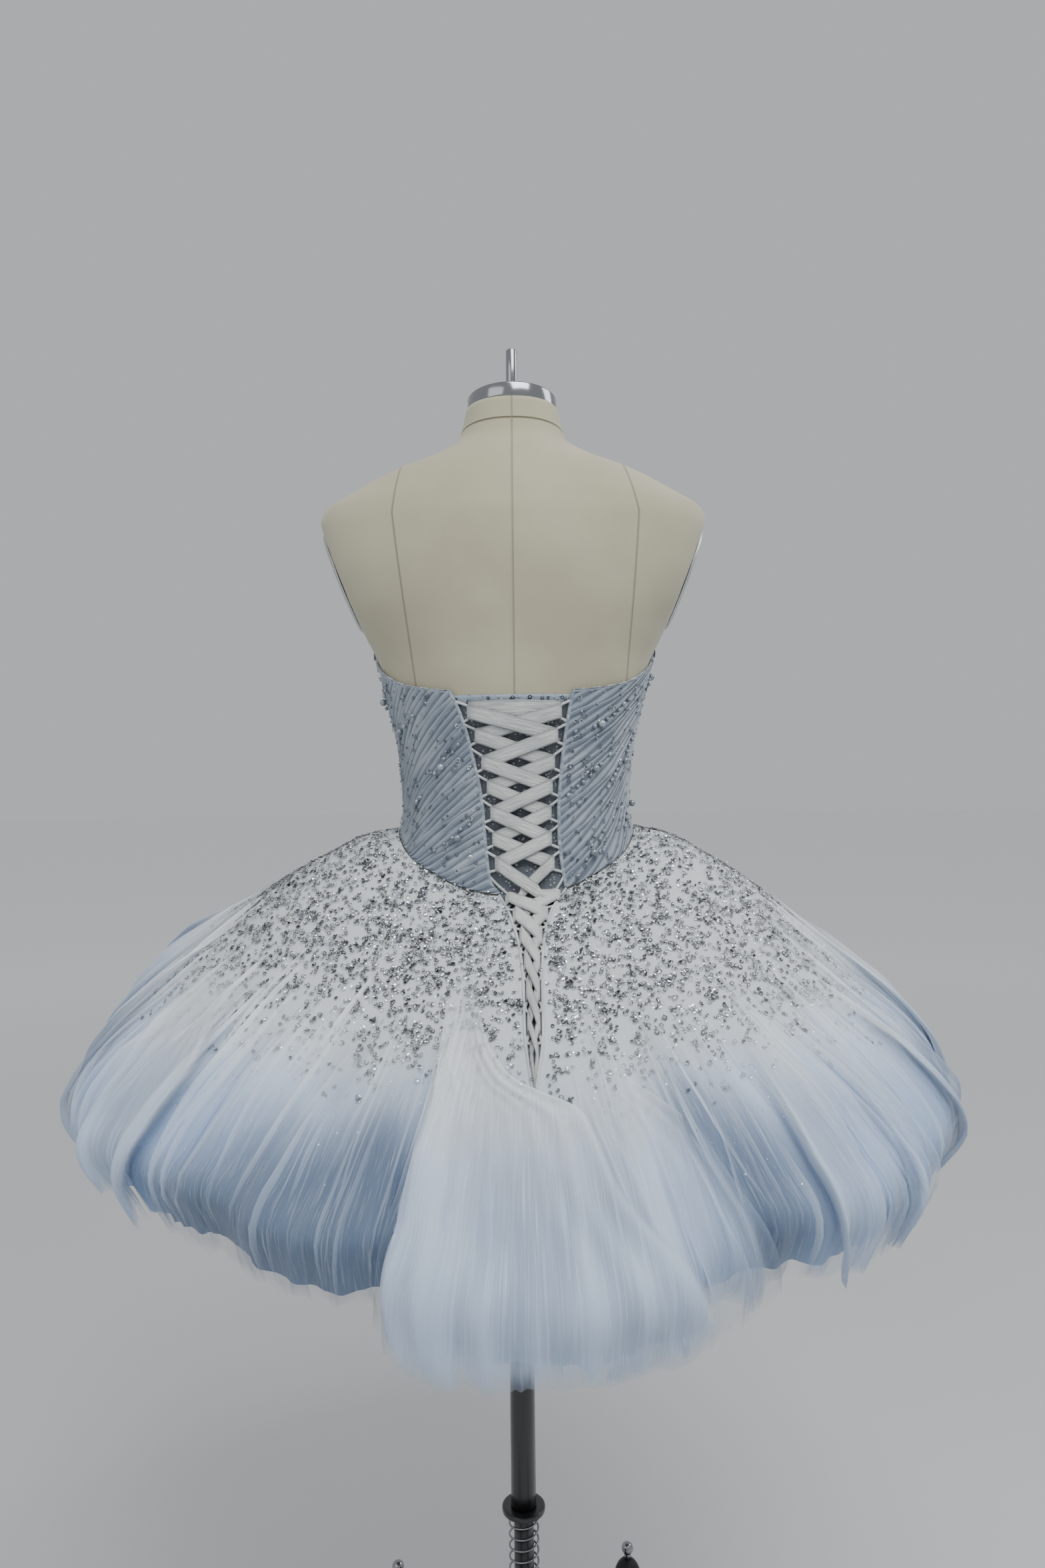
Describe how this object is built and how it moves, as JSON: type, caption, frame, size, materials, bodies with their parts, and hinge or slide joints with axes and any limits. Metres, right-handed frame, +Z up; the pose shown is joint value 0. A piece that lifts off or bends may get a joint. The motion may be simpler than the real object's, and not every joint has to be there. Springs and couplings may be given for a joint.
{
  "type": "short ball gown on a limbless dress form and its stand",
  "caption": "Strapless short ball gown with a pleated laced bodice and a full gathered skirt, worn by a limbless dress form on a pole stand.",
  "frame": {"origin": "on the pole's axis at floor level", "axes": "+Z up, the gown's laced back faces -Y and the wearer's right side is towards +X"},
  "size_m": [0.8409, 0.8464, 1.5418],
  "materials": {
    "bodice_tulle": "pleated tulle over a satin ground",
    "sequin_panel": "sequinned net",
    "satin": "satin ribbon and rouleau cord",
    "skirt_tulle": "gathered tulle",
    "net": "stiff net",
    "linen": "stretched linen cover",
    "plate_steel": "satin plated sheet",
    "polished_steel": "polished",
    "spring_steel": "bright drawn wire",
    "black_paint": "black gloss enamel",
    "cast_iron": "black painted casting",
    "foot_rubber": "moulded rubber"
  },
  "bodies": {
    "base": {"hub": "cast_iron", "spring": "spring_steel", "leg_1": "cast_iron", "leg_2": "cast_iron", "leg_3": "cast_iron", "leg_4": "cast_iron", "foot_1": "foot_rubber", "foot_2": "foot_rubber", "foot_3": "foot_rubber", "foot_4": "foot_rubber", "ball_nut_1": "polished_steel", "ball_nut_2": "polished_steel", "ball_nut_3": "polished_steel", "ball_nut_4": "polished_steel"},
    "form": {"bodice_front": "bodice_tulle", "bodice_back_left": "bodice_tulle", "bodice_back_right": "bodice_tulle", "modesty_panel": "sequin_panel", "loops_left": "satin", "loops_right": "satin", "lace": "satin", "skirt_back_left": "skirt_tulle", "skirt_back_right": "skirt_tulle", "skirt_front": "skirt_tulle", "petticoat": "net", "form_torso": "linen", "armhole_plate_left": "plate_steel", "armhole_plate_right": "plate_steel", "neck_cap": "polished_steel", "neck_pin": "polished_steel", "pole": "black_paint", "flange": "black_paint"}
  },
  "joints": [
    {"name": "height_slide", "type": "slide", "parent": "base", "child": "form", "axis": [0, 0, 1], "range_m": [0, 0.12]}
  ]
}
